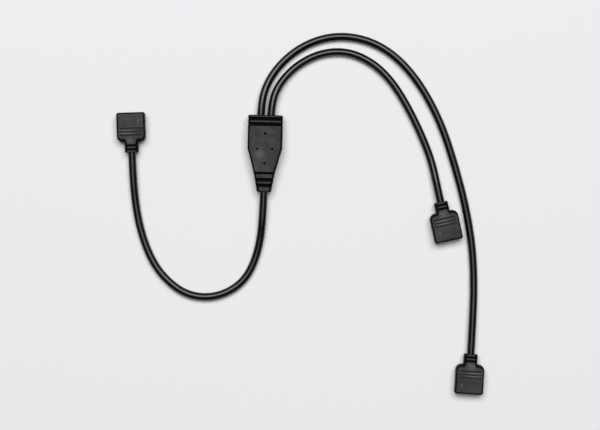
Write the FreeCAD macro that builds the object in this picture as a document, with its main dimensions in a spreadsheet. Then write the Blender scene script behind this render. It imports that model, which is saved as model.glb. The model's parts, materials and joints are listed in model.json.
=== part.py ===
"""Four-core splitter cable: an input socket, a moulded splitter and two output sockets.

Millimetres, +Z up, lying on z = 0. The origin is under the middle of the splitter, and +Y runs
along the splitter towards its two output cables. Each socket is a header with four leaf contacts,
moulded into a housing whose slotted neck grips the cable. In the splitter, every core of the input
cable is crimped to the same core of both output cables.
"""
import FreeCAD, Part
import math
import os
import Sketcher
from FreeCAD import Placement, Rotation, Vector

DIMENSIONS = (
    ("jacket_diameter", 3.8, "cable over its jacket"),
    ("core_diameter", 0.8, "one insulated core"),
    ("core_clearance", 0.04, "between neighbouring cores at the end of a jacket"),
    ("layer_clearance", 0.1, "between the two layers of cores in the splitter"),
    ("pin_pitch", 2.54, "between neighbouring contacts"),
    ("header_depth", 8.5, "header block along the mating direction"),
    ("header_height", 2.5, "header block"),
    ("front_wall", 1.2, "header wall in front of the contacts"),
    ("entry_width", 0.9, "square pin entry"),
    ("entry_chamfer", 0.3, "lead-in round each pin entry"),
    ("strip_thickness", 0.2, "contact strip"),
    ("strip_width", 1.0, "contact strip"),
    ("strip_clearance", 0.05, "between a contact and its cavity"),
    ("leaf_spread", 0.55, "inner half opening at the heel of the leaves"),
    ("leaf_nip", 0.25, "inner half opening where the leaves grip the pin"),
    ("leaf_mouth", 0.45, "inner half opening at the tips of the leaves"),
    ("nip_depth", 1.0, "from the front wall to the grip"),
    ("tip_gap", 0.15, "from the front wall to the tips"),
    ("heel_margin", 0.6, "from the heel to the back of the header"),
    ("tail_length", 2.5, "contact tail behind the header"),
    ("side_wall", 1.82, "socket housing beside the header"),
    ("cover_wall", 2.0, "socket housing over and under the header"),
    ("fan_length", 3.1, "cores between the jacket and the contact tails"),
    ("jacket_bury", 0.5, "jacket inside the housing, past the neck"),
    ("shoulder_radius", 3.0, "rear corners of the housing in plan"),
    ("crown_radius", 2.2, "rear edges of the housing in side view"),
    ("edge_round", 0.9, "other edges of the housing"),
    ("slot_bite", 0.9, "slots past the surface of the jacket, which shows in them"),
    ("neck_length", 4.8, "strain relief behind the housing"),
    ("neck_seat", 2.6, "neck inside the housing"),
    ("neck_side", 1.4, "neck beside the jacket"),
    ("neck_cover", 1.1, "neck over the jacket"),
    ("neck_round", 1.65, "long edges of the neck"),
    ("neck_slot_width", 1.1, "slots in the neck"),
    ("neck_slot_pitch", 1.9, "slots in the neck"),
    ("neck_slot_start", 1.45, "from the housing to the middle of the first slot"),
    ("neck_top_span", 4.0, "slots over and under the neck"),
    ("neck_side_span", 2.8, "slots beside the neck"),
    ("grip_start", 7.9, "from the mating face to the first grip groove"),
    ("grip_pitch", 1.55, "grip grooves"),
    ("grip_width", 0.7, "grip grooves"),
    ("grip_depth", 0.35, "grip grooves"),
    ("grip_margin", 1.6, "from the ends of a grip groove to the housing's sides"),
    ("splitter_width", 16.8, "splitter housing"),
    ("splitter_height", 8.0, "splitter housing"),
    ("straight_length", 16.0, "parallel part of the splitter, with its collar"),
    ("taper_length", 11.9, "tapered part of the splitter"),
    ("taper_end_width", 10.3, "narrow end of the taper"),
    ("corner_round", 1.2, "upright edges of the splitter"),
    ("splitter_bevel", 1.0, "other edges of the splitter"),
    ("collar_rib", 1.1, "ribs of the collar"),
    ("collar_groove", 1.5, "grooves of the collar"),
    ("collar_depth", 1.2, "grooves of the collar"),
    ("relief_length", 9.3, "strain relief of the splitter"),
    ("relief_seat", 2.0, "strain relief inside the taper's end"),
    ("relief_step", 0.3, "from the taper's end down to the strain relief"),
    ("relief_side", 1.7, "strain relief beside the jacket at its end"),
    ("relief_cover", 1.1, "strain relief over the jacket at its end"),
    ("relief_root_bevel", 0.8, "long edges of the strain relief at its root"),
    ("relief_bevel", 1.3, "long edges of the strain relief at its end"),
    ("relief_gap", 0.8, "blind groove between the taper and the first rib"),
    ("relief_gap_wall", 0.7, "between the jacket and the floor of the blind groove"),
    ("relief_first_rib", 1.75, "first rib of the strain relief"),
    ("relief_rib", 0.9, "later ribs of the strain relief"),
    ("relief_groove", 1.8, "slots of the strain relief"),
    ("relief_top_span", 6.0, "slots over and under the strain relief"),
    ("relief_side_span", 3.0, "slots beside the strain relief"),
    ("hole_diameter", 1.15, "locating pin holes"),
    ("hole_depth", 2.0, "locating pin holes"),
    ("hole_spread", 3.6, "pin holes either side of the middle"),
    ("hole_ahead", 7.5, "from the pair of pin holes to the one nearer the collar"),
    ("hole_behind", 6.9, "from the pair of pin holes to the one nearer the strain relief"),
    ("hole_start", 16.4, "from the collar's end to the pair of pin holes"),
    ("lead_spacing", 5.0, "between the two output cables in the collar"),
    ("lead_insert", 6.5, "output jackets in the splitter"),
    ("stem_insert", 9.0, "input jacket in the splitter"),
    ("stem_fan", 5.5, "input cores between the jacket and the splices"),
    ("stem_straight", 9.0, "input cable straight on past the splitter"),
    ("lead_straight", 5.2, "output cables straight on past the splitter"),
    ("splice_diameter", 2.2, "hexagonal crimp splices over their corners"),
    ("splice_length", 5.0, "crimp splices"),
    ("splice_clearance", 0.4, "between neighbouring splices"),
)

WAYS = ("supply", "green", "red", "blue")
GRIP_GROOVES = 3
NECK_SLOTS = 2
RELIEF_SLOTS = 2
COLLAR_GROOVES = 2
CORE_SIDES = 8
SPLICE_SIDES = 6
ARC_SHARE = 0.45
VOLUME_TOLERANCE = 0.005
NEAR = 1e-4

# Sizes that follow from the driving dimensions, as expressions.
HEADER_WIDTH = f"({len(WAYS)} * dims.pin_pitch)"
PLUG_WIDTH = f"({HEADER_WIDTH} + 2 * dims.side_wall)"
PLUG_HEIGHT = "(dims.header_height + 2 * dims.cover_wall)"
TAIL_END = "(dims.header_depth + dims.tail_length)"
JACKET_END = f"({TAIL_END} + dims.fan_length)"
PLUG_LENGTH = f"({JACKET_END} + dims.jacket_bury)"
NECK_END = f"({PLUG_LENGTH} + dims.neck_length)"
CORE_PITCH = "(dims.core_diameter + dims.core_clearance)"
LAYER = "((dims.core_diameter + dims.layer_clearance) / 2)"
SPLITTER_LENGTH = "(dims.straight_length + dims.taper_length + dims.relief_length)"
LEAD_END = f"({SPLITTER_LENGTH} / 2)"
TAPER_START = f"({LEAD_END} - dims.straight_length)"
RELIEF_START = f"(dims.relief_length - {LEAD_END})"
STEM_JACKET = f"(dims.stem_insert - {LEAD_END})"
SPLICE_START = f"({STEM_JACKET} + dims.stem_fan)"
SPLICE_END = f"({SPLICE_START} + dims.splice_length)"
LEAD_JACKET = f"({LEAD_END} - dims.lead_insert)"
SPLICE_PITCH = "(dims.splice_diameter + dims.splice_clearance)"
SHORT_SIDE = "(dims.lead_spacing / 2)"
LONG_SIDE = "(-dims.lead_spacing / 2)"
OPEN_FLOOR = "(dims.jacket_diameter / 2 - dims.slot_bite)"
BLIND_FLOOR = "(dims.jacket_diameter / 2 + dims.relief_gap_wall)"

# Routes as (x, y, lift), from past the splitter to the jacket's end in the socket. Lift is the share
# of the way up from lying on the ground to the middle of the housing that holds the nearer end.
INPUT_ROUTE = (
    (-1.6, -46, 0), (-6.8, -60, 0), (-15.7, -67.8, 0), (-26.8, -70.9, 0), (-37.8, -68.9, 0),
    (-47.2, -61.9, 0), (-53.7, -53.4, 0), (-59, -40.9, 0), (-62.2, -27.3, 0), (-63.95, -11.6, 1),
    (-64.85, 4.35, 1),
)
SHORT_ROUTE = (
    (6, 34, 0.4), (14.3, 43.4, 0), (25.8, 49.7, 0), (38.8, 50.9, 0), (50.9, 46, 0), (60.5, 37.4, 0),
    (68.7, 25.1, 0), (76.1, 10.7, 0), (81.2, -1.6, 0), (84.35, -14.9, 1), (87.2, -26.6, 1),
)
LONG_ROUTE = (
    (0.2, 34.5, 0.4), (7.3, 45.1, 0), (18.4, 53.8, 0), (31.9, 58.3, 0), (46.2, 57.4, 0),
    (58.9, 51.8, 0), (69.8, 42, 0), (78.8, 29.3, 0), (86.3, 14.5, 0), (92.4, -2.9, 0),
    (97.9, -21.7, 0), (101.8, -41.1, 0), (103.3, -59.9, 0), (102.9, -81.1, 1), (102.2, -100.25, 1),
)
# For each cable: its place across the splitter, where its jacket starts inside, where its straight
# run past the splitter ends, and its route from there.
CABLES = {
    "input": ("0", STEM_JACKET, f"-({LEAD_END} + dims.stem_straight)", INPUT_ROUTE),
    "short": (SHORT_SIDE, LEAD_JACKET, f"({LEAD_END} + dims.lead_straight)", SHORT_ROUTE),
    "long": (LONG_SIDE, LEAD_JACKET, f"({LEAD_END} + dims.lead_straight)", LONG_ROUTE),
}

UPRIGHT = Vector(0, 0, 1)
ALONG = Vector(0, 1, 0)
CROSSWISE = Vector(1, 0, 0)
FACING_ALONG = Rotation(UPRIGHT, ALONG)

doc = FreeCAD.newDocument("splitter_cable")
sheet = doc.addObject("Spreadsheet::Sheet", "dims")
for row, (alias, length, meaning) in enumerate(DIMENSIONS, start=1):
    sheet.set(f"A{row}", meaning)
    sheet.set(f"B{row}", str(length))
    sheet.setAlias(f"B{row}", alias)
doc.recompute()
nodes = []


def size(expression):
    """The value of an expression of the sheet's cells."""
    return float(sheet.evalExpression(expression))


def node(piece, label):
    """Names a finished piece and lists it."""
    piece.Label = label
    nodes.append(piece)
    return piece


def new_body(name, placement):
    body = doc.addObject("PartDesign::Body", name)
    body.Placement = placement
    return body


def new_sketch(body, name, role, offset="0"):
    """An empty sketch on one of the body's origin planes, moved along the plane's normal."""
    sketch = body.newObject("Sketcher::SketchObject", name)
    plane = next(feature for feature in body.Origin.OriginFeatures if feature.Role == role)
    sketch.AttachmentSupport = [(plane, "")]
    sketch.MapMode = "FlatFace"
    sketch.setExpression("AttachmentOffset.Base.z", offset)
    return sketch


def drive(sketch, constraint, expression):
    """Adds a dimension to a sketch and ties it to the sheet."""
    index = sketch.addConstraint(constraint)
    name = f"size_{index}"
    sketch.renameConstraint(index, name)
    sketch.setExpression(f"Constraints.{name}", expression)


def add_polygon(sketch, corners):
    """A closed polygon, each corner a pair of expressions."""
    points = [Vector(size(across), size(up), 0) for across, up in corners]
    first = sketch.GeometryCount
    count = len(points)
    for index, point in enumerate(points):
        sketch.addGeometry(Part.LineSegment(point, points[(index + 1) % count]))
    for index in range(count):
        following = first + (index + 1) % count
        sketch.addConstraint(Sketcher.Constraint("Coincident", first + index, 2, following, 1))
    for index, (corner, point) in enumerate(zip(corners, points)):
        line = first + index
        drive(sketch, Sketcher.Constraint("DistanceX", -1, 1, line, 1, point.x), corner[0])
        drive(sketch, Sketcher.Constraint("DistanceY", -1, 1, line, 1, point.y), corner[1])


def add_rectangle(sketch, left, right, low, high):
    add_polygon(sketch, ((left, low), (right, low), (right, high), (left, high)))


def add_rounded_rectangle(sketch, half_width, half_height, radius):
    """A rectangle about the origin with round corners: four lines and the arcs tangent to them."""
    right, top, bend = size(half_width), size(half_height), size(radius)
    first = sketch.GeometryCount
    signs = ((1, 1), (-1, 1), (-1, -1), (1, -1))
    for quarter, (side, level) in enumerate(signs):
        centre = Vector(side * (right - bend), level * (top - bend), 0)
        turn = quarter * math.pi / 2
        circle = Part.Circle(centre, UPRIGHT, bend)
        sketch.addGeometry(Part.ArcOfCircle(circle, turn, turn + math.pi / 2))
    for quarter in range(4):
        arc, following = (sketch.Geometry[first + (quarter + step) % 4] for step in (0, 1))
        sketch.addGeometry(Part.LineSegment(arc.EndPoint, following.StartPoint))
    for quarter, (side, level) in enumerate(signs):
        arc, line = first + quarter, first + 4 + quarter
        following = first + (quarter + 1) % 4
        sketch.addConstraint(Sketcher.Constraint("Tangent", arc, 2, line, 1))
        sketch.addConstraint(Sketcher.Constraint("Tangent", line, 2, following, 1))
        place = (f"{side} * ({half_width} - {radius})", f"{level} * ({half_height} - {radius})")
        drive(sketch, Sketcher.Constraint("DistanceX", -1, 1, arc, 3, size(place[0])), place[0])
        drive(sketch, Sketcher.Constraint("DistanceY", -1, 1, arc, 3, size(place[1])), place[1])
        drive(sketch, Sketcher.Constraint("Radius", arc, bend), radius)


def add_bevelled_rectangle(sketch, half_width, half_height, bevel):
    """A rectangle about the origin with its corners cut off."""
    inner_width, inner_height = f"({half_width} - {bevel})", f"({half_height} - {bevel})"
    add_polygon(sketch, (
        (half_width, f"-{inner_height}"), (half_width, inner_height),
        (inner_width, half_height), (f"-{inner_width}", half_height),
        (f"-{half_width}", inner_height), (f"-{half_width}", f"-{inner_height}"),
        (f"-{inner_width}", f"-{half_height}"), (inner_width, f"-{half_height}"),
    ))


def add_circle(sketch, across, up, diameter):
    centre = Vector(size(across), size(up), 0)
    circle = sketch.addGeometry(Part.Circle(centre, UPRIGHT, size(diameter) / 2))
    drive(sketch, Sketcher.Constraint("DistanceX", -1, 1, circle, 3, centre.x), across)
    drive(sketch, Sketcher.Constraint("DistanceY", -1, 1, circle, 3, centre.y), up)
    drive(sketch, Sketcher.Constraint("Diameter", circle, size(diameter)), diameter)


def pad(body, sketch, length, midplane=False):
    feature = body.newObject("PartDesign::Pad", "pad")
    feature.Profile = sketch
    feature.setExpression("Length", length)
    feature.Midplane = midplane
    return feature


def pocket(body, sketch, depth, midplane=False, upward=False):
    """Cuts a sketch into the body, and stops if nothing was cut away."""
    feature = body.newObject("PartDesign::Pocket", "pocket")
    feature.Profile = sketch
    feature.setExpression("Length", depth)
    feature.Midplane = midplane
    feature.Reversed = upward
    doc.recompute()
    if feature.Shape.Volume > feature.BaseFeature.Shape.Volume - NEAR:
        raise RuntimeError(f"{body.Name}: {sketch.Name} cuts nothing")
    return feature


def cut_slots(body, level, width, floor, half_top, half_side):
    """Cuts slots over, under and beside the jacket down to a floor, with webs left at the corners."""
    reach = f"({floor} + dims.splitter_width)"
    above = new_sketch(body, "slots_above", "XZ_Plane", level)
    add_rectangle(above, f"-{half_top}", half_top, floor, reach)
    add_rectangle(above, f"-{half_top}", half_top, f"-{reach}", f"-{floor}")
    pocket(body, above, width, midplane=True)
    beside = new_sketch(body, "slots_beside", "XZ_Plane", level)
    add_rectangle(beside, floor, reach, f"-{half_side}", half_side)
    add_rectangle(beside, f"-{reach}", f"-{floor}", f"-{half_side}", half_side)
    pocket(body, beside, width, midplane=True)


def dress(body, kind, sizing, amount, chosen):
    """A fillet or chamfer on the edges of the body's last feature that chosen picks."""
    doc.recompute()
    base = body.Tip
    edges = [f"Edge{i}" for i, edge in enumerate(base.Shape.Edges, start=1) if chosen(edge)]
    feature = body.newObject(f"PartDesign::{kind}", kind.lower())
    feature.Base = (base, edges)
    feature.setExpression(sizing, amount)
    return feature


def fillet(body, radius, chosen):
    return dress(body, "Fillet", "Radius", radius, chosen)


def lies_at(edge, axis, place):
    """Whether both ends of an edge are at one place along an axis."""
    return all(abs(getattr(vertex.Point, axis) - place) < NEAR for vertex in edge.Vertexes)


def runs_along(edge, direction):
    """Whether the ends of an edge lie along a direction."""
    ends = [vertex.Point for vertex in edge.Vertexes]
    return len(ends) == 2 and (ends[1] - ends[0]).cross(direction).Length < NEAR


def is_upright(edge):
    return runs_along(edge, UPRIGHT)


def is_crosswise(edge):
    return runs_along(edge, CROSSWISE)


def combine(kind, name, shapes):
    """The union or the common part of several shapes."""
    feature = doc.addObject(f"Part::Multi{kind}", name)
    feature.Shapes = shapes
    return feature


def mould(label, solid, cavity):
    """A housing: a solid less everything that it is moulded round."""
    housing = doc.addObject("Part::Cut", label)
    housing.Base = solid
    housing.Tool = cavity
    return node(housing, label)


def block(name, placement, length, width, height, back):
    """A box centred on the piece's axis; back is the local Y of its rear face."""
    box = doc.addObject("Part::Box", name)
    box.setExpression("Length", width)
    box.setExpression("Width", length)
    box.setExpression("Height", height)
    corner = Vector(-size(width) / 2, size(back), -size(height) / 2)
    box.Placement = placement.multiply(Placement(corner, Rotation()))
    return box


def rod(name, placement, diameter, length, start):
    """A cylinder along local Y from a start point."""
    cylinder = doc.addObject("Part::Cylinder", name)
    cylinder.setExpression("Radius", f"{diameter} / 2")
    cylinder.setExpression("Height", length)
    cylinder.Placement = placement.multiply(Placement(start, FACING_ALONG))
    return cylinder


def bar(label, placement, start, end, diameter, sides):
    """A straight bar with flat sides between two points of expressions, sized over its corners."""
    sections = []
    for point in (start, end):
        section = doc.addObject("Part::RegularPolygon", "bar_section")
        section.Polygon = sides
        section.setExpression("Circumradius", f"{diameter} / 2")
        section.Placement = Placement(Vector(), FACING_ALONG)
        for axis, expression in zip("xyz", point):
            section.setExpression(f"Placement.Base.{axis}", expression)
        sections.append(section)
    loft = doc.addObject("Part::Loft", label)
    loft.Sections = sections
    loft.Solid = True
    loft.Ruled = True
    loft.Placement = placement
    return node(loft, label)


def core(label, placement, start, end):
    """An insulated core. It has few sides, because there are many and the mouldings hide them all."""
    return bar(label, placement, start, end, "dims.core_diameter", CORE_SIDES)


def across(way, pitch):
    """The place of one of the ways in a row about the middle, as an expression."""
    return f"({way - (len(WAYS) - 1) / 2} * {pitch})"


def header(label, placement):
    """The insulator: a bar with a chamfered square entry and a contact cavity for each way."""
    body = new_body(label, placement)
    bar = new_sketch(body, "bar", "XZ_Plane")
    half_width, half_height = f"{HEADER_WIDTH} / 2", "dims.header_height / 2"
    add_rectangle(bar, f"-{half_width}", half_width, f"-{half_height}", half_height)
    pad(body, bar, "dims.header_depth")
    entries = new_sketch(body, "entries", "XZ_Plane", "dims.front_wall")
    cavities = new_sketch(body, "cavities", "XZ_Plane", "dims.header_depth")
    cavity_across = "(dims.strip_width / 2 + dims.strip_clearance)"
    cavity_up = "(dims.leaf_spread + dims.strip_thickness + dims.strip_clearance)"
    for way in range(len(WAYS)):
        middle = across(way, "dims.pin_pitch")
        for sketch, reach, up in (
            (entries, "dims.entry_width / 2", "dims.entry_width / 2"),
            (cavities, cavity_across, cavity_up),
        ):
            add_rectangle(sketch, f"{middle} - {reach}", f"{middle} + {reach}", f"-{up}", up)
    pocket(body, entries, "dims.front_wall")
    pocket(body, cavities, "dims.header_depth - dims.front_wall")
    entry = size("dims.entry_width")
    dress(body, "Chamfer", "Size", "dims.entry_chamfer",
          lambda edge: lies_at(edge, "y", 0) and abs(edge.Length - entry) < NEAR)
    return node(body, label)


def contact(label, placement):
    """A leaf contact: two sprung leaves from a heel, and a tail, bent from one strip."""
    body = new_body(label, placement)
    leaves = new_sketch(body, "leaves", "YZ_Plane")
    tip = "-(dims.front_wall + dims.tip_gap)"
    nip = "-(dims.front_wall + dims.nip_depth)"
    heel = "(dims.heel_margin - dims.header_depth)"
    strip = "dims.strip_thickness"
    upper = (
        (f"-{TAIL_END}", f"{strip} / 2"),
        (f"{heel} - {strip}", f"{strip} / 2"),
        (f"{heel} - {strip}", f"dims.leaf_spread + {strip}"),
        (nip, f"dims.leaf_nip + {strip}"),
        (tip, f"dims.leaf_mouth + {strip}"),
        (tip, "dims.leaf_mouth"),
        (nip, "dims.leaf_nip"),
        (heel, "dims.leaf_spread"),
    )
    lower = tuple((along, f"-({up})") for along, up in reversed(upper))
    add_polygon(leaves, upper + lower)
    pad(body, leaves, "dims.strip_width", midplane=True)
    return node(body, label)


def socket_plan(name, placement):
    """The housing's block as seen from above: rounded corners, and grooves for the fingers."""
    body = new_body(f"{name}_plan", placement)
    half_width, half_height = f"{PLUG_WIDTH} / 2", f"{PLUG_HEIGHT} / 2"
    outline = new_sketch(body, "outline", "XY_Plane")
    add_rectangle(outline, f"-{half_width}", half_width, f"-{PLUG_LENGTH}", "0")
    pad(body, outline, PLUG_HEIGHT, midplane=True)
    rear = -size(PLUG_LENGTH)
    fillet(body, "dims.shoulder_radius", lambda edge: is_upright(edge) and lies_at(edge, "y", rear))
    fillet(body, "dims.edge_round", lambda edge: is_upright(edge) and lies_at(edge, "y", 0))
    groove_end = f"({half_width} - dims.grip_margin)"
    for side, offset in ((False, half_height), (True, f"-{half_height}")):
        grips = new_sketch(body, "grips", "XY_Plane", offset)
        for groove in range(GRIP_GROOVES):
            middle = f"-(dims.grip_start + {groove} * dims.grip_pitch)"
            add_rectangle(grips, f"-{groove_end}", groove_end,
                          f"{middle} - dims.grip_width / 2", f"{middle} + dims.grip_width / 2")
        pocket(body, grips, "dims.grip_depth", upward=side)
    return body


def socket_profile(name, placement):
    """The housing's block as seen from the side: a rounded back and softer front edges."""
    body = new_body(f"{name}_profile", placement)
    outline = new_sketch(body, "outline", "YZ_Plane")
    half_height = f"{PLUG_HEIGHT} / 2"
    add_rectangle(outline, f"-{PLUG_LENGTH}", "0", f"-{half_height}", half_height)
    pad(body, outline, PLUG_WIDTH, midplane=True)
    rear = -size(PLUG_LENGTH)
    fillet(body, "dims.crown_radius", lambda edge: is_crosswise(edge) and lies_at(edge, "y", rear))
    fillet(body, "dims.edge_round", lambda edge: is_crosswise(edge) and lies_at(edge, "y", 0))
    return body


def socket_section(name, placement):
    """The housing's block as seen from the mating face: a rectangle with rounded corners."""
    body = new_body(f"{name}_section", placement)
    outline = new_sketch(body, "outline", "XZ_Plane")
    add_rounded_rectangle(outline, f"({PLUG_WIDTH} / 2)", f"({PLUG_HEIGHT} / 2)", "dims.edge_round")
    pad(body, outline, PLUG_LENGTH)
    return body


def socket_neck(name, placement):
    """The strain relief: a rounded bar round the jacket, slotted down to it to let it bend."""
    body = new_body(f"{name}_neck", placement)
    bar = new_sketch(body, "bar", "XZ_Plane", f"{PLUG_LENGTH} - dims.neck_seat")
    add_rounded_rectangle(bar, "(dims.jacket_diameter / 2 + dims.neck_side)",
                          "(dims.jacket_diameter / 2 + dims.neck_cover)", "dims.neck_round")
    pad(body, bar, "dims.neck_length + dims.neck_seat")
    for slot in range(NECK_SLOTS):
        level = f"{PLUG_LENGTH} + dims.neck_slot_start + {slot} * dims.neck_slot_pitch"
        cut_slots(body, level, "dims.neck_slot_width", OPEN_FLOOR,
                  "dims.neck_top_span / 2", "dims.neck_side_span / 2")
    return body


def socket(name, placement):
    """A complete socket: header, contacts and cores, and the housing moulded round them."""
    recess = block(f"{name}_recess", placement, "dims.header_depth", HEADER_WIDTH,
                   "dims.header_height", "-dims.header_depth")
    jacket = rod(f"{name}_bore", placement, "dims.jacket_diameter",
                 f"{NECK_END} - {JACKET_END}", Vector(0, -size(NECK_END), 0))
    moulded_in = [recess, jacket]
    header(f"{name}_header", placement)
    for way, colour in enumerate(WAYS):
        row = across(way, "dims.pin_pitch")
        shift = Placement(Vector(size(row), 0, 0), Rotation())
        at_way = placement.multiply(shift)
        contact(f"{name}_contact_{colour}", at_way)
        moulded_in.append(block(f"{name}_tail", at_way, "dims.tail_length", "dims.strip_width",
                                "dims.strip_thickness", f"-{TAIL_END}"))
        moulded_in.append(core(
            f"{name}_core_{colour}", placement,
            (across(way, CORE_PITCH), f"-{JACKET_END}", "0"), (row, f"-{TAIL_END}", "0")))
    rounded = combine("Common", f"{name}_rounded", [
        view(name, placement) for view in (socket_plan, socket_profile, socket_section)])
    solid = combine("Fuse", f"{name}_solid", [rounded, socket_neck(name, placement)])
    cavity = combine("Fuse", f"{name}_cavity", moulded_in)
    return mould(f"{name}_housing", solid, cavity)


def splitter_body(placement):
    """The splitter's block: tapered in plan, with a ribbed collar and blind pin holes."""
    body = new_body("splitter_body", placement)
    half_width, half_height = "dims.splitter_width / 2", "dims.splitter_height / 2"
    outline = new_sketch(body, "outline", "XY_Plane")
    add_polygon(outline, (
        (half_width, LEAD_END), (f"-{half_width}", LEAD_END), (f"-{half_width}", TAPER_START),
        ("-dims.taper_end_width / 2", RELIEF_START), ("dims.taper_end_width / 2", RELIEF_START),
        (half_width, TAPER_START),
    ))
    pad(body, outline, "dims.splitter_height", midplane=True)
    fillet(body, "dims.corner_round", is_upright)
    top = size(half_height)
    dress(body, "Chamfer", "Size", "dims.splitter_bevel",
          lambda edge: lies_at(edge, "z", top) or lies_at(edge, "z", -top))
    add_collar(body)
    add_pin_holes(body)
    return body


def add_collar(body):
    """Grooves right round the lead end, each a ring cut down from the outside."""
    half_width, half_height = "dims.splitter_width / 2", "dims.splitter_height / 2"
    for groove in range(COLLAR_GROOVES):
        level = (f"-{LEAD_END} + {groove + 1} * dims.collar_rib"
                 f" + {groove + 0.5} * dims.collar_groove")
        ring = new_sketch(body, "ring", "XZ_Plane", level)
        for edge in (" + dims.collar_depth", " - dims.collar_depth"):
            add_rectangle(ring, f"-({half_width}{edge})", f"{half_width}{edge}",
                          f"-({half_height}{edge})", f"{half_height}{edge}")
        pocket(body, ring, "dims.collar_groove", midplane=True)


def add_pin_holes(body):
    """Four blind holes in each face, left by the pins that held the splices in the mould."""
    pair = f"({LEAD_END} - dims.hole_start)"
    places = (
        ("0", f"{pair} + dims.hole_ahead"), ("0", f"{pair} - dims.hole_behind"),
        ("dims.hole_spread", pair), ("-dims.hole_spread", pair),
    )
    for side, offset in ((False, "dims.splitter_height / 2"), (True, "-dims.splitter_height / 2")):
        holes = new_sketch(body, "holes", "XY_Plane", offset)
        for place in places:
            add_circle(holes, *place, "dims.hole_diameter")
        pocket(body, holes, "dims.hole_depth", upward=side)


def splitter_relief(placement):
    """The strain relief: a tapered bar with bevelled long edges, slotted down to the jacket.

    The groove next to the taper is blind, because the jacket ends there and the cores spread.
    """
    body = new_body("splitter_relief", placement)
    root, end = f"({RELIEF_START} + dims.relief_seat)", f"-{LEAD_END}"
    ends = (
        (root, "(dims.taper_end_width / 2 - dims.relief_step)",
         "(dims.splitter_height / 2 - dims.relief_step)", "dims.relief_root_bevel"),
        (end, "(dims.jacket_diameter / 2 + dims.relief_side)",
         "(dims.jacket_diameter / 2 + dims.relief_cover)", "dims.relief_bevel"),
    )
    sections = []
    for level, half_width, half_height, bevel in ends:
        section = new_sketch(body, "section", "XZ_Plane", f"-({level})")
        add_bevelled_rectangle(section, half_width, half_height, bevel)
        sections.append(section)
    bar = body.newObject("PartDesign::AdditiveLoft", "bar")
    bar.Profile = sections[0]
    bar.Sections = sections[1:]
    bar.Ruled = True
    spans = ("dims.relief_top_span / 2", "dims.relief_side_span / 2")
    cut_slots(body, f"-{RELIEF_START} + dims.relief_gap / 2", "dims.relief_gap", BLIND_FLOOR, *spans)
    first_slot = "(dims.relief_gap + dims.relief_first_rib + dims.relief_groove / 2)"
    for slot in range(RELIEF_SLOTS):
        level = f"-{RELIEF_START} + {first_slot} + {slot} * (dims.relief_groove + dims.relief_rib)"
        cut_slots(body, level, "dims.relief_groove", OPEN_FLOOR, *spans)
    return body


def splitter():
    """The splitter: three jackets, their cores and the splices, and the housing round them."""
    placement = Placement(Vector(0, 0, size("dims.splitter_height / 2")), Rotation())
    moulded_in = [rod("stem_bore", placement, "dims.jacket_diameter", "dims.stem_insert",
                      Vector(0, -size(LEAD_END), 0))]
    leads = (("short", SHORT_SIDE, f"-{LAYER}"), ("long", LONG_SIDE, LAYER))
    for name, middle, _ in leads:
        moulded_in.append(rod(f"{name}_bore", placement, "dims.jacket_diameter", "dims.lead_insert",
                              Vector(size(middle), size(LEAD_JACKET), 0)))
    for way, colour in enumerate(WAYS):
        row = across(way, SPLICE_PITCH)
        in_jacket = across(way, CORE_PITCH)
        moulded_in.append(bar(f"splice_{colour}", placement, (row, SPLICE_START, "0"),
                              (row, SPLICE_END, "0"), "dims.splice_diameter", SPLICE_SIDES))
        moulded_in.append(core(f"splitter_input_core_{colour}", placement,
                               (in_jacket, STEM_JACKET, "0"), (row, SPLICE_START, "0")))
        for name, middle, layer in leads:
            moulded_in.append(core(f"splitter_{name}_core_{colour}", placement,
                                   (row, SPLICE_END, layer),
                                   (f"{middle} + {in_jacket}", LEAD_JACKET, layer)))
    cavity = combine("Fuse", "splitter_cavity", moulded_in)
    solid = combine("Fuse", "splitter_solid", [splitter_body(placement), splitter_relief(placement)])
    return mould("splitter_housing", solid, cavity)


def lay(name):
    """The points of a cable: straight out of the splitter, then along its route."""
    middle, jacket, clear, route = CABLES[name]
    course = [(size(middle), size(level), 1) for level in (jacket, clear)] + list(route)
    ground = size("dims.jacket_diameter / 2")
    held = (size("dims.splitter_height / 2"), size(f"{PLUG_HEIGHT} / 2"))
    points = []
    for index, (right, ahead, lift) in enumerate(course):
        height = held[index > len(course) // 2]
        points.append(Vector(right, ahead, ground + lift * (height - ground)))
    return points


def cable_path(points):
    """Straight runs joined by tangent arcs, each as large as its two runs allow, and their radii."""
    edges = []
    radii = []
    start = points[0]
    for before, corner, after in zip(points, points[1:], points[2:]):
        into = corner - before
        onward = after - corner
        reach = ARC_SHARE * min(into.Length, onward.Length)
        half_turn = into.getAngle(onward) / 2
        into.normalize()
        onward.normalize()
        radius = reach / math.tan(half_turn)
        first = corner - into * reach
        last = corner + onward * reach
        inward = (onward - into).normalize()
        middle = corner + inward * (radius / math.cos(half_turn) - radius)
        edges.append(Part.LineSegment(start, first).toShape())
        edges.append(Part.Arc(first, middle, last).toShape())
        radii.append(radius)
        start = last
    edges.append(Part.LineSegment(start, points[-1]).toShape())
    return Part.Wire(edges), radii


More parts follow.
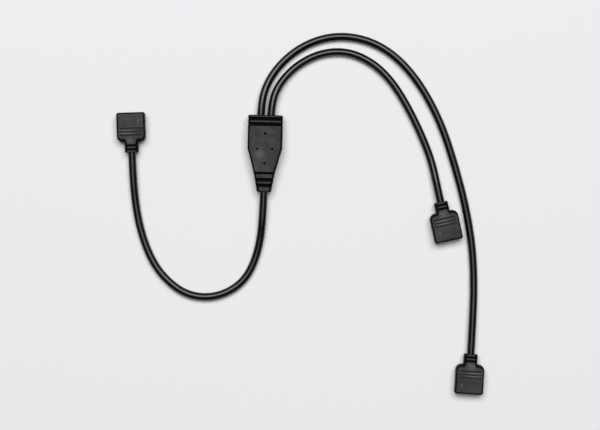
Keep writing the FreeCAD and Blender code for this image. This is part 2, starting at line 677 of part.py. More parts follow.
def cable(name):
    """A round cable from the splitter to its socket."""
    label = f"{name}_cable"
    points = lay(name)
    wire, radii = cable_path(points)
    path = doc.addObject("Part::Feature", f"{label}_path")
    path.Shape = wire
    section = doc.addObject("Part::Circle", f"{label}_section")
    section.setExpression("Radius", "dims.jacket_diameter / 2")
    section.Placement = Placement(points[0], Rotation(UPRIGHT, points[1] - points[0]))
    tube = doc.addObject("Part::Sweep", label)
    tube.Sections = [section]
    tube.Spine = (path, [f"Edge{i}" for i in range(1, len(wire.Edges) + 1)])
    tube.Solid = True
    doc.recompute()
    expected = math.pi * size("dims.jacket_diameter / 2") ** 2 * wire.Length
    if abs(tube.Shape.Volume / expected - 1) > VOLUME_TOLERANCE:
        raise RuntimeError(f"{label}: {tube.Shape.Volume:.1f} for {expected:.1f} cubic millimetres")
    print(f"{label}: {wire.Length:.1f} long, radii", " ".join(f"{radius:.0f}" for radius in radii))
    return node(tube, label)


def socket_place(name):
    """Where a socket's mating face is: in line with the last run of its cable, past the jacket."""
    before, jacket_end = lay(name)[-2:]
    heading = (jacket_end - before).normalize()
    return Placement(jacket_end + heading * size(JACKET_END), Rotation(ALONG, heading))


def check():
    """Stops if any object failed, or a piece has no valid solid."""
    doc.recompute()
    for item in doc.Objects:
        if any(state in ("Invalid", "Error") for state in item.State):
            raise RuntimeError(f"{item.Label} failed: {item.State}")
    for piece in nodes:
        if piece.Shape.isNull() or not piece.Shape.isValid() or len(piece.Shape.Solids) != 1:
            raise RuntimeError(f"{piece.Label} is not one valid solid")


def main():
    splitter()
    for name in CABLES:
        cable(name)
        socket(name, socket_place(name))
    check()
    os.makedirs("parts", exist_ok=True)
    for piece in nodes:
        piece.Shape.exportStep(f"parts/{piece.Label}.step")


main()
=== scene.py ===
"""Looks of the splitter cable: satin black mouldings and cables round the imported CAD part.

The frame is in metres, with the ground at z = 0 and the splitter's middle over the origin. Sizes in
this file are in millimetres, and a shape becomes metres when its mesh is made.
"""
import json
import math

import bpy
import numpy as np
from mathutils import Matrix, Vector


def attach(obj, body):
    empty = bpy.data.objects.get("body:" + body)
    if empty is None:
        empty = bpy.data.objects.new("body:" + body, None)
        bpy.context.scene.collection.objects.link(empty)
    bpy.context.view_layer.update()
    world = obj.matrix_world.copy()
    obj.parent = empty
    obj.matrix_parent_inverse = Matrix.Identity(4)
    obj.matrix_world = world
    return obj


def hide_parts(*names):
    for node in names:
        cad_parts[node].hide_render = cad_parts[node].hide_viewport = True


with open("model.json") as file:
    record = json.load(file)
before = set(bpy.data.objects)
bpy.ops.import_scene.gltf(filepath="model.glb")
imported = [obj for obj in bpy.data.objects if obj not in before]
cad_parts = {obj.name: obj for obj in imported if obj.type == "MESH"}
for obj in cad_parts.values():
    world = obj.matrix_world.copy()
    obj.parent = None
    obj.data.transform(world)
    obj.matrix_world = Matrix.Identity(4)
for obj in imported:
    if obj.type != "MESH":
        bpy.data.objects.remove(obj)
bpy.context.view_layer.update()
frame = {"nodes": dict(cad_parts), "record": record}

MM = 0.001
ENDS = ("input", "short", "long")
WAYS = ("supply", "green", "red", "blue")
SHARP_ANGLE = math.radians(32)

# The cables, as in the CAD part.
JACKET = 3.8
SPLITTER_MIDDLE = 4.0
SOCKET_MIDDLE = 3.25
# Route points as (x, y, lift). Lift is the share of the way up from the ground to the middle of the
# housing that the cable goes into.
ROUTES = {
    "input": (
        (0, -9.6, 1), (0, -27.6, 1), (-1.6, -46, 0), (-6.8, -60, 0), (-15.7, -67.8, 0),
        (-26.8, -70.9, 0), (-37.8, -68.9, 0), (-47.2, -61.9, 0), (-53.7, -53.4, 0), (-59, -40.9, 0),
        (-62.2, -27.3, 0), (-63.95, -11.6, 1), (-64.85, 4.35, 1),
    ),
    "short": (
        (2.5, 12.1, 1), (2.5, 23.8, 1), (6, 34, 0.4), (14.3, 43.4, 0), (25.8, 49.7, 0),
        (38.8, 50.9, 0), (50.9, 46, 0), (60.5, 37.4, 0), (68.7, 25.1, 0), (76.1, 10.7, 0),
        (81.2, -1.6, 0), (84.35, -14.9, 1), (87.2, -26.6, 1),
    ),
    "long": (
        (-2.5, 12.1, 1), (-2.5, 23.8, 1), (0.2, 34.5, 0.4), (7.3, 45.1, 0), (18.4, 53.8, 0),
        (31.9, 58.3, 0), (46.2, 57.4, 0), (58.9, 51.8, 0), (69.8, 42, 0), (78.8, 29.3, 0),
        (86.3, 14.5, 0), (92.4, -2.9, 0), (97.9, -21.7, 0), (101.8, -41.1, 0), (103.3, -59.9, 0),
        (102.9, -81.1, 1), (102.2, -100.25, 1),
    ),
}
# From the end of a jacket to its socket's mating face.
JACKET_END = 14.1


def route_points(name):
    """A route's points: z goes from the jacket's radius to the housing's middle by lift.

    The points in the first half of a route rise to the splitter, and the others to the socket.
    """
    route = np.array(ROUTES[name], float)
    ground = JACKET / 2
    held = np.where(np.arange(len(route)) > len(route) // 2, SOCKET_MIDDLE, SPLITTER_MIDDLE)
    return np.column_stack((route[:, :2], ground + route[:, 2] * (held - ground)))


def socket_frame(name):
    """The mating face's centre, and the directions across, out along and up, of a socket."""
    before, last = route_points(name)[-2:]
    along = (last - before) / np.linalg.norm(last - before)
    across = np.array((along[1], -along[0], 0.0))
    return last + along * JACKET_END, across, along, np.array((0.0, 0.0, 1.0))


def set_in(name, points):
    """Carries points from a socket's own (across, along, up) into the frame."""
    face, across, along, up = socket_frame(name)
    return face + points[:, :1] * across + points[:, 1:2] * along + points[:, 2:] * up


# Materials

# Near black: the jacket's own darkest tone, and the painted shade on the mouldings' radii.
BLACK_AND_PAINTED_SHADE = (0.002, 0.002, 0.0022)
# The colour of the painted highlights on the mouldings.
PAINTED_HIGHLIGHT_GREY = (0.18, 0.18, 0.182)
# The upright part of a normal at which the flat faces' painted sheen begins, and at which it is
# whole; where it is less, the radii are painted near black as shade.
SHEEN_FROM, SHEEN_WHOLE = 0.955, 0.995


def material(name, color, roughness, specular=0.5, metallic=0.0):
    """A plain shader to add detail to, with its even values on the shader's own sockets."""
    made = bpy.data.materials.new(name)
    made.use_nodes = True
    shader = made.node_tree.nodes["Principled BSDF"]
    shader.inputs["Base Color"].default_value = (*color, 1.0)
    shader.inputs["Roughness"].default_value = roughness
    shader.inputs["Specular IOR Level"].default_value = specular
    shader.inputs["Metallic"].default_value = metallic
    return made


def add_node(made, kind, settings=None, **inputs):
    """A node with its settings and inputs: a socket of another node is linked, a value is set.

    An input called i0, i1 and so on is taken by its place, and the others by their names.
    """
    node = made.node_tree.nodes.new(kind)
    for key, value in (settings or {}).items():
        setattr(node, key, value)
    for key, value in inputs.items():
        by_place = key[0] == "i" and key[1:].isdigit()
        socket = node.inputs[int(key[1:]) if by_place else key]
        if isinstance(value, bpy.types.NodeSocket):
            made.node_tree.links.new(value, socket)
        else:
            socket.default_value = value
    return node


def noise(made, scale, detail=2.0, roughness=0.5):
    """Noise on Object coordinates; scale is in waves a metre."""
    where = add_node(made, "ShaderNodeTexCoord")
    return add_node(made, "ShaderNodeTexNoise", None, Vector=where.outputs["Object"],
                    Scale=scale, Detail=detail, Roughness=roughness).outputs["Fac"]


def ranged(made, value, low, high, to_low, to_high):
    """A value carried smoothly from one range to another."""
    return add_node(made, "ShaderNodeMapRange", {"interpolation_type": "SMOOTHSTEP"}, Value=value,
                    i1=low, i2=high, i3=to_low, i4=to_high).outputs["Result"]


def mixed(made, share, first, second):
    """A colour between two colours; either may be a socket.

    The node has its sockets once for each kind of data. Inputs 6 and 7 and output 2 are colours.
    """
    colors = [color if isinstance(color, bpy.types.NodeSocket) else (*color, 1.0)
              for color in (first, second)]
    return add_node(made, "ShaderNodeMix", {"data_type": "RGBA"},
                    i0=share, i6=colors[0], i7=colors[1]).outputs[2]


def finish_with(made, **sockets):
    """Links sockets to the shader's inputs, named with _ for a space."""
    shader = made.node_tree.nodes["Principled BSDF"]
    for key, socket in sockets.items():
        made.node_tree.links.new(socket, shader.inputs[key.replace("_", " ")])


def bumped(made, height, distance, strength=1.0):
    """A normal from a height, in metres."""
    return add_node(made, "ShaderNodeBump", None, Height=height, Distance=distance,
                    Strength=strength).outputs["Normal"]


def grained(made):
    """The fine eroded grain of the mould, as a normal."""
    grain = noise(made, scale=5200.0, detail=2.0, roughness=0.6)
    return bumped(made, grain, distance=0.00003, strength=0.35)


def moulding_material():
    """Moulded PVC with a fine eroded grain all over: the flat faces grey as a painted sheen, and
    the radii between them near black as painted shade.

    The share of painted sheen follows how flat the surface lies, from the normal's upright part,
    and it also makes the flat faces a little rougher. Where the mesh's attribute says so, the
    colour is made paler as a painted highlight.
    """
    made = material("moulding", (0.02, 0.02, 0.02), 0.5, specular=0.1)
    normal = add_node(made, "ShaderNodeNewGeometry").outputs["Normal"]
    upright = add_node(made, "ShaderNodeSeparateXYZ", None, Vector=normal).outputs["Z"]
    flat = add_node(made, "ShaderNodeMath", {"operation": "ABSOLUTE"}, i0=upright).outputs[0]
    painted_sheen_share = ranged(made, flat, SHEEN_FROM, SHEEN_WHOLE, 0.0, 1.0)
    # The flat faces' grey is a painted sheen, patchy at random.
    patch = ranged(made, noise(made, 210.0, 3.0, 0.55), 0.34, 0.68, 0.0, 1.0)
    panel = mixed(made, patch, (0.035, 0.035, 0.036), (0.056, 0.056, 0.0572))
    # A painted highlight, as much as the mesh's attribute says.
    painted_highlight = add_node(made, "ShaderNodeAttribute", {"attribute_name": "painted_highlight"}).outputs["Fac"]
    panel = mixed(made, painted_highlight, panel, PAINTED_HIGHLIGHT_GREY)
    finish_with(
        made,
        # Painted shade on the radii, painted sheen on the flat faces.
        Base_Color=mixed(made, painted_sheen_share, BLACK_AND_PAINTED_SHADE, panel),
        Roughness=ranged(made, painted_sheen_share, 0.0, 1.0, 0.45, 0.55),
        Normal=grained(made),
    )
    return made


def painted_shade_recess_material():
    """The same PVC in the floors of grooves and in slots, pin holes and the header's recess,
    coloured near black as painted shade.
    """
    made = material("moulding_recess", BLACK_AND_PAINTED_SHADE, 0.5, specular=0.02)
    finish_with(
        made,
        Base_Color=mixed(made, noise(made, 400.0),
                         (0.0012, 0.0012, 0.0012), (0.0026, 0.0026, 0.0028)),
        Roughness=ranged(made, noise(made, 900.0, 3.0), 0.3, 0.7, 0.45, 0.6),
    )
    return made


def grip_material():
    """The same PVC in the grip grooves, grained as the panel is and a little darker, as painted
    shade.
    """
    made = material("moulding_grip", (0.02, 0.02, 0.02), 0.55, specular=0.2)
    finish_with(
        made,
        Base_Color=mixed(made, noise(made, 500.0, 3.0),
                         (0.023, 0.023, 0.0236), (0.042, 0.042, 0.043)),
        Normal=grained(made),
    )
    return made


def mark_material():
    """The raised pin mark, coloured paler than the panel."""
    made = material("pin_mark", (0.09, 0.09, 0.092), 0.5, specular=0.3)
    finish_with(
        made,
        Base_Color=mixed(made, noise(made, 900.0, 3.0), (0.06, 0.06, 0.062), (0.12, 0.12, 0.122)),
        Roughness=ranged(made, noise(made, 1500.0, 3.0), 0.3, 0.7, 0.4, 0.6),
    )
    return made


def jacket_material():
    """Extruded PVC: smooth black, with slow waves in its gloss and a faint grain."""
    made = material("jacket", (0.006, 0.006, 0.0065), 0.25, specular=0.45)
    finish_with(
        made,
        Base_Color=mixed(made, noise(made, 160.0), BLACK_AND_PAINTED_SHADE, (0.005, 0.005, 0.0054)),
        Roughness=ranged(made, noise(made, 240.0, 3.0), 0.3, 0.7, 0.14, 0.22),
        Normal=bumped(made, noise(made, 2600.0, 2.0), 0.00002, 0.2),
    )
    return made


def insulator_material():
    """Hard black nylon with a slight orange peel."""
    made = material("insulator", (0.008, 0.008, 0.009), 0.4, specular=0.2)
    finish_with(
        made,
        Base_Color=mixed(made, noise(made, 900.0), (0.006, 0.006, 0.007), (0.011, 0.011, 0.012)),
        Roughness=ranged(made, noise(made, 1500.0, 3.0), 0.3, 0.7, 0.32, 0.48),
        Normal=bumped(made, noise(made, 3000.0), 0.00002, 0.25),
    )
    return made


def metal_material(name, dark, light, roughness):
    """Stamped strip or crimped sleeve: patches in its plating, and a very fine unevenness."""
    made = material(name, light, roughness, metallic=1.0)
    finish_with(
        made,
        Base_Color=mixed(made, noise(made, 1400.0, 4.0), dark, light),
        Roughness=ranged(made, noise(made, 2600.0, 3.0), 0.3, 0.7,
                         roughness * 0.8, roughness * 1.3),
        Normal=bumped(made, noise(made, 7000.0), 0.00001, 0.3),
    )
    return made


def wire_material(name, dark, light):
    """Thin coloured wire insulation, slightly uneven."""
    made = material(name, light, 0.35)
    finish_with(
        made,
        Base_Color=mixed(made, noise(made, 700.0, 3.0), dark, light),
        Roughness=ranged(made, noise(made, 1800.0), 0.3, 0.7, 0.3, 0.45),
    )
    return made


MATERIALS = {
    "moulding": moulding_material(),
    "moulding_recess": painted_shade_recess_material(),
    "moulding_grip": grip_material(),
    "pin_mark": mark_material(),
    "jacket": jacket_material(),
    "header": insulator_material(),
    "contact": metal_material("contact_strip", (0.68, 0.5, 0.2), (0.83, 0.66, 0.32), 0.24),
    "splice": metal_material("splice_sleeve", (0.62, 0.6, 0.56), (0.74, 0.72, 0.68), 0.32),
    "core_supply": wire_material("wire_white", (0.7, 0.7, 0.67), (0.82, 0.82, 0.8)),
    "core_green": wire_material("wire_green", (0.035, 0.34, 0.09), (0.05, 0.42, 0.12)),
    "core_red": wire_material("wire_red", (0.5, 0.025, 0.025), (0.62, 0.04, 0.04)),
    "core_blue": wire_material("wire_blue", (0.025, 0.08, 0.44), (0.04, 0.12, 0.55)),
}


# Surfaces

# Places of the side's columns as shares of its height, close together at the parting line.
SIDE_SHARES = (0.15, 0.32, 0.46, 0.49, 0.51, 0.54, 0.68, 0.85)
PARTING_RISE, PARTING_SHARE = 0.06, 0.02
FINISHES = ("moulding", "moulding_recess", "moulding_grip")
PLAIN, RECESS, GRIP = 0, 1, 2


def sections(half_width, half_height, corner_across, corner_up, columns=40, columns_round=8):
    """Rounded rectangles, one for each row of the four arrays, as rows of across and of up.

    Each corner is a quarter ellipse about (half_width - corner_across, half_height - corner_up),
    and straight sides join the corners. Half way up, the sides rise in a fine parting line. The
    columns run round from the right side's lower end.
    """
    wide, high, bend_x, bend_z = (np.asarray(value, float)[:, None] for value in (
        half_width, half_height, corner_across, corner_up))
    turn = np.linspace(0.0, math.pi / 2, columns_round)[None, :]
    share_x = np.linspace(0.0, 1.0, columns + 2)[None, 1:-1]
    share_z = np.array(SIDE_SHARES)[None, :]
    rise_z = np.where(np.abs(share_z - 0.5) < PARTING_SHARE, PARTING_RISE, 0.0)
    flat_x, flat_z = wide - bend_x, high - bend_z
    corner_x, corner_z = flat_x + bend_x * np.cos(turn), flat_z + bend_z * np.sin(turn)
    side_x, side_z = wide + rise_z, flat_z * (2.0 * share_z - 1.0)
    top_x, top_z = flat_x * (1.0 - 2.0 * share_x), high + 0.0 * share_x
    back_x, back_z = corner_x[:, ::-1], corner_z[:, ::-1]
    across = (side_x, corner_x, top_x, -back_x, -side_x, -corner_x, -top_x, back_x)
    up = (side_z, corner_z, top_z, back_z, -side_z, -corner_z, -top_z, -back_z)
    return np.hstack(across), np.hstack(up)


def loft(along, across, up, finishes=None):
    """A closed skin over rows of sections: quads between the rows, and a fan to each end's middle.

    The faces are turned outwards by the sign of the volume that they hold. Returns the points, the
    faces, and each face's finish: the lowest of its points' finishes, so that it is plain where
    only some of them are sunk.
    """
    rows, columns = across.shape
    level = np.broadcast_to(np.asarray(along)[:, None], across.shape)
    points = np.stack((across, level, up), axis=-1)
    ends = points[[0, -1]].mean(axis=1)
    first = np.arange(rows * columns).reshape(rows, columns)
    beside = np.roll(first, -1, axis=1)
    corners = (first[:-1], first[1:], beside[1:], beside[:-1])
    quads = np.stack([corner.ravel() for corner in corners], axis=1)
    fans = []
    for row, pole, flip in ((0, rows * columns, False), (rows - 1, rows * columns + 1, True)):
        pair = (beside[row], first[row]) if flip else (first[row], beside[row])
        fans.append(np.stack((*pair, np.full(columns, pole)), axis=1))
    vertices = np.vstack((points.reshape(-1, 3), ends))
    triangles = np.vstack((quads[:, [0, 1, 2]], quads[:, [0, 2, 3]], *fans))
    a, b, c = (vertices[triangles[:, i]] for i in range(3))
    faces = [*quads.tolist(), *np.vstack(fans).tolist()]
    if np.einsum("ij,ij->i", a, np.cross(b, c)).sum() < 0:
        faces = [face[::-1] for face in faces]
    finish = np.full(len(faces), PLAIN)
    if finishes is not None:
        finish[:len(quads)] = finishes.ravel()[quads].min(axis=1)
    return vertices, faces, finish


def boxes(centres, sizes):
    """Boxes about centres: a corner is the centre plus half the size, signed by its place."""
    signs = np.array([(x, y, z) for x in (-1, 1) for y in (-1, 1) for z in (-1, 1)], float)
    centres, sizes = np.asarray(centres, float), np.asarray(sizes, float)
    vertices = (centres[:, None, :] + signs[None] * sizes[:, None, :] / 2).reshape(-1, 3)
    sides = np.array(((0, 1, 3, 2), (4, 6, 7, 5), (0, 4, 5, 1),
                      (2, 3, 7, 6), (0, 2, 6, 4), (1, 5, 7, 3)))
    faces = (np.arange(len(centres))[:, None, None] * len(signs) + sides[None]).reshape(-1, 4)
    # The faces that a box cuts take the recess material, its painted shade.
    return vertices, faces.tolist(), np.full(len(faces), RECESS)


def upright_rods(centres, radius, low, high, sides=28):
    """Upright rods: a circle of sides points at each of two heights, joined, with flat ends."""
    turn = np.arange(sides) * 2 * math.pi / sides
    ring = np.column_stack((radius * np.cos(turn), radius * np.sin(turn)))
    vertices, faces = [], []
    step = np.arange(sides)
    for index, (x, y) in enumerate(centres):
        base = index * 2 * sides
        for level in (low, high):
            vertices.append(np.column_stack((ring + (x, y), np.full(sides, level))))
        lower, upper = base + step, base + sides + step
        faces += np.stack((lower, np.roll(lower, -1), np.roll(upper, -1), upper), axis=1).tolist()
        faces += [lower[::-1].tolist(), upper.tolist()]
    # The faces that a rod cuts take the recess material, its painted shade.
    return np.vstack(vertices), faces, np.full(len(faces), RECESS)


def mesh_object(name, vertices, faces, finish=None):
    """An object at the origin with its place in its mesh, in metres, and a finish for each face."""
    mesh = bpy.data.meshes.new(name)
    mesh.from_pydata((np.asarray(vertices) * MM).tolist(), [], faces)
    if finish is not None:
        for slot in FINISHES:
            mesh.materials.append(MATERIALS[slot])
        mesh.polygons.foreach_set("material_index", finish.astype(np.int32))
    mesh.update()
    made = bpy.data.objects.new(name, mesh)
    bpy.context.scene.collection.objects.link(made)
    return made


def carve(piece, operation, tool):
    """Joins a second shape to a piece or cuts it away, and drops the second shape."""
    step = piece.modifiers.new(operation.lower(), "BOOLEAN")
    step.operation, step.solver, step.object = operation, "EXACT", tool
    step.material_mode = "INDEX"
    bpy.context.view_layer.update()
    depsgraph = bpy.context.evaluated_depsgraph_get()
    carved = bpy.data.meshes.new_from_object(piece.evaluated_get(depsgraph))
    piece.modifiers.clear()
    old, piece.data = piece.data, carved
    bpy.data.meshes.remove(old)
    bpy.data.meshes.remove(tool.data)
    carved.name = piece.name


def paint_highlights(piece, places, spots):
    """Marks a piece's painted highlights: at each vertex, the sum over spots of a share times a
    bell.

    The bell about a spot is exp(-(x / reach_x)^2 - (y / reach_y)^2), where x and y go from the
    spot to the vertex's place.
    """
    highlight_share = np.zeros(len(places))
    for x, y, reach_x, reach_y, share in spots:
        off_x, off_y = (places[:, 0] - x) / reach_x, (places[:, 1] - y) / reach_y
        highlight_share += share * np.exp(-off_x ** 2 - off_y ** 2)
    piece.data.attributes.new("painted_highlight", "FLOAT", "POINT").data.foreach_set("value", highlight_share)


def vertex_places(piece):
    """The vertices of a piece, in millimetres."""
    places = np.empty(len(piece.data.vertices) * 3)
    piece.data.vertices.foreach_get("co", places)
    return places.reshape(-1, 3) / MM


def dress(piece, slot, *replaced):
    """Smooths a piece but for its sharp edges, hangs it on the root body and hides the nodes that
    it replaces. The slot is not used.
    """
    piece.data.polygons.foreach_set("use_smooth", [True] * len(piece.data.polygons))
    piece.data.set_sharp_from_angle(angle=SHARP_ANGLE)
    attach(piece, "root")
    if replaced:
        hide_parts(*replaced)
    return piece


def quarter(count):
    """Even turns of a quarter circle, as (sine, cosine)."""
    turn = np.linspace(0.0, math.pi / 2, count)
    return np.sin(turn), np.cos(turn)


# A cutter reaches this far past the face that it goes in at.
CUT_PAST = 1.0

# Socket, in its own directions: the mating face at along = 0, the cable behind it.
SOCKET_HALF = (6.9, 3.25)
SOCKET_LENGTH = 14.6
SOCKET_EDGE, LEAST_EDGE = 1.0, 0.06
SOCKET_ROW, EDGE_ROWS, SHOULDER_ROWS = 0.1, 7, 26
SHOULDER = 3.0
CROWN = 2.2
# How much the block's corners grow over the shoulder, across and up, and the most of the height
# that they take.
CORNER_GROWTH, CORNER_MOST = (1.4, 0.9), 0.95
GRIPS = (-7.9, -9.45, -11.0)
GRIP_HALF_WIDTH, GRIP_DEPTH, GRIP_REACH, GRIP_FADE = 0.5, 0.34, 5.25, 0.35
# A point this near the height of the flat face lies on it, and sinks with the grips.
FACE_TOLERANCE = 1e-6
HEADER_BOX = (10.2, 8.5, 2.54)
NECK_ROOT, NECK_LIP, NECK_END = 11.7, 19.2, 19.4
NECK_ROWS, LIP_ROWS, NECK_COLUMNS = 60, 5, 14
# Stations of the neck as (along, flat half width, corner across, half height, corner up).
NECK_STATIONS = (
    (-NECK_ROOT, 3.6, 0.6, 3.08, 0.9),
    (-12.4, 3.3, 0.7, 3.16, 0.9),
    (-13.9, 2.1, 1.2, 3.12, 1.4),
    (-15.2, 1.7, 1.65, 3.03, 1.8),
    (-NECK_LIP, 1.65, 1.65, 2.98, 1.8),
    (-NECK_END, 1.55, 1.55, 2.78, 1.7),
)
NECK_SLOTS = (-16.05, -17.95)
NECK_SLOT_WIDTH, NECK_SLOT_SPANS, NECK_SLOT_REACH = 1.1, (4.8, 2.8), 4.0
# The slots end just over the jacket.
SLOT_FLOOR = 1.95
# Painted highlights as (across, along, reach across, reach along, share): the ridges between the
# grips and the neck's root. They lie more to one side on each socket, which scales their across.
SOCKET_HIGHLIGHTS = (
    (1.0, -7.2, 4.4, 0.2, 0.15), (2.2, -8.68, 3.7, 0.28, 0.8), (2.2, -10.23, 3.7, 0.28, 0.95),
    (0.7, -13.3, 2.0, 1.5, 0.52),
)
HIGHLIGHT_SIDES = {"input": -1.0, "short": 0.5, "long": -1.0}


def socket_block():
    """The socket's block, lofted from its mating face to its back.

    The front edge is a quarter circle. Behind, the half width follows the shoulder's quarter circle
    in plan and the half height the crown's in side view. The flat faces sink by a raised cosine at
    each grip, faded out towards the groove's ends.
    """
    wide, high = SOCKET_HALF
    sine, cosine = quarter(EDGE_ROWS)
    shoulder_from = SOCKET_LENGTH - SHOULDER
    front = SOCKET_EDGE * (cosine - 1.0)
    middle = np.arange(-SOCKET_EDGE - SOCKET_ROW, -shoulder_from, -SOCKET_ROW)
    rear = -shoulder_from - SHOULDER * quarter(SHOULDER_ROWS)[0]
    along = np.concatenate((front, middle, rear))
    inset = np.concatenate((SOCKET_EDGE * (1.0 - sine), np.zeros(len(middle) + len(rear))))
    into_shoulder = np.clip(-along - shoulder_from, 0.0, SHOULDER)
    into_crown = np.clip(-along - (SOCKET_LENGTH - CROWN), 0.0, CROWN)
    half_width = wide - inset - SHOULDER + np.sqrt(SHOULDER ** 2 - into_shoulder ** 2)
    half_height = high - inset - CROWN + np.sqrt(CROWN ** 2 - into_crown ** 2)
    bend = np.maximum(SOCKET_EDGE - inset, LEAST_EDGE)
    bend_across, bend_up = (bend + growth * into_shoulder / SHOULDER for growth in CORNER_GROWTH)
    bend_up = np.minimum(bend_up, CORNER_MOST * half_height)
    across, up = sections(half_width, half_height, bend_across, bend_up)
    depth = np.zeros_like(up)
    ends = np.clip((GRIP_REACH - np.abs(across)) / GRIP_FADE, 0.0, 1.0)
    for place in GRIPS:
        near = np.clip(np.abs(along - place) / GRIP_HALF_WIDTH, 0.0, 1.0)[:, None]
        fade = np.sqrt(1.0 - (1.0 - ends) ** 2)
        depth += GRIP_DEPTH * (0.5 + 0.5 * np.cos(math.pi * near)) * fade
    depth *= np.abs(up) > half_height[:, None] - FACE_TOLERANCE
    return loft(along, across, up - np.sign(up) * depth, np.where(depth > 0.0, GRIP, PLAIN))


def socket_neck():
    """The neck, lofted from under the panel to its end: the flat top narrows and the corners grow.

    Every size runs straight between the stations.
    """
    along = np.concatenate((np.linspace(-NECK_ROOT, -NECK_LIP, NECK_ROWS),
                            np.linspace(-NECK_LIP, -NECK_END, LIP_ROWS)[1:]))
    place, *sizes = np.array(NECK_STATIONS).T
    flat, bend_x, half_height, bend_z = (np.interp(-along, -place, size) for size in sizes)
    return loft(along, *sections(flat + bend_x, half_height, bend_x, bend_z, NECK_COLUMNS))


def slots(places, width, floor, spans, reach):
    """Box cutters round an axis: above, below and on both sides at each place along it.

    The two above and below come first, then the two at the sides, each pair as a mesh of its own.
    """
    middle = floor + reach / 2
    above = [(0, place, sign * middle) for place in places for sign in (-1, 1)]
    beside = [(sign * middle, place, 0) for place in places for sign in (-1, 1)]
    return (boxes(above, [(spans[0], width, reach)] * len(above)),
            boxes(beside, [(reach, width, spans[1])] * len(beside)))


def make_socket(name):
    """The housing of one socket, in its place, with its neck, its slots and the header's recess."""
    def shape(label, vertices, faces, finish):
        return mesh_object(label, set_in(name, vertices), faces, finish)

    housing = shape(f"{name}_moulding", *socket_block())
    carve(housing, "UNION", shape("neck", *socket_neck()))
    for cutter in slots(NECK_SLOTS, NECK_SLOT_WIDTH, SLOT_FLOOR, NECK_SLOT_SPANS, NECK_SLOT_REACH):
        carve(housing, "DIFFERENCE", shape("slots", *cutter))
    wide, deep, high = HEADER_BOX
    carve(housing, "DIFFERENCE", shape("recess", *boxes(
        [(0.0, (CUT_PAST - deep) / 2, 0.0)], [(wide, deep + CUT_PAST, high)])))
    face, across, along, _ = socket_frame(name)
    places = vertex_places(housing) - face
    # Painted highlights on the ridges between the grips and on the neck's root.
    spots = [(HIGHLIGHT_SIDES[name] * side, *rest) for side, *rest in SOCKET_HIGHLIGHTS]
    paint_highlights(housing, np.column_stack((places @ across, places @ along)), spots)
    return dress(housing, "moulding", f"{name}_housing")


# Splitter

SPLITTER_HALF = (8.4, 4.0)
SPLITTER_END = 18.6
TAPER_FROM, TAPER_TO, TAPER_HALF = 2.6, -9.3, 5.15
SPLITTER_EDGE = 1.15
COLLAR_GROOVES, COLLAR_RIB, COLLAR_GROOVE = 2, 1.1, 1.5
COLLAR_DEPTH, COLLAR_SIDE, COLLAR_WALL = 1.2, 0.15, 0.1
RIM_CORNER, RIM_EDGE, RIB_EDGE, TAPER_EDGE = 0.7, 0.4, 0.18, 0.6
RIM_ROWS, PANEL_ROWS, RELIEF_ROWS = 6, 90, 24
RELIEF_HALF = ((5.1, 3.7), (3.45, 3.0))
RELIEF_EDGES = (1.0, 1.4)
RELIEF_GAP, RELIEF_GAP_WIDTH, RELIEF_GAP_SPANS, BLIND_FLOOR = -9.7, 0.8, (10.4, 3.0), 2.6
RELIEF_SLOTS = (-12.75, -15.45)
RELIEF_SLOT_WIDTH, RELIEF_SPANS, RELIEF_REACH = 1.8, (7.4, 3.0), 6.0
PIN_HOLES = ((0.0, 9.7), (0.0, -4.7), (3.6, 2.2), (-3.6, 2.2))
PIN_HOLE_RADIUS, PIN_HOLE_DEPTH = 0.6, 2.0
# Painted highlights, soft patches of sheen, as (x, y, reach in x, reach in y, share).
SPLITTER_HIGHLIGHTS = ((-2.1, -0.3, 2.4, 2.6, 0.36), (-4.2, -6.5, 1.6, 1.6, 0.15))


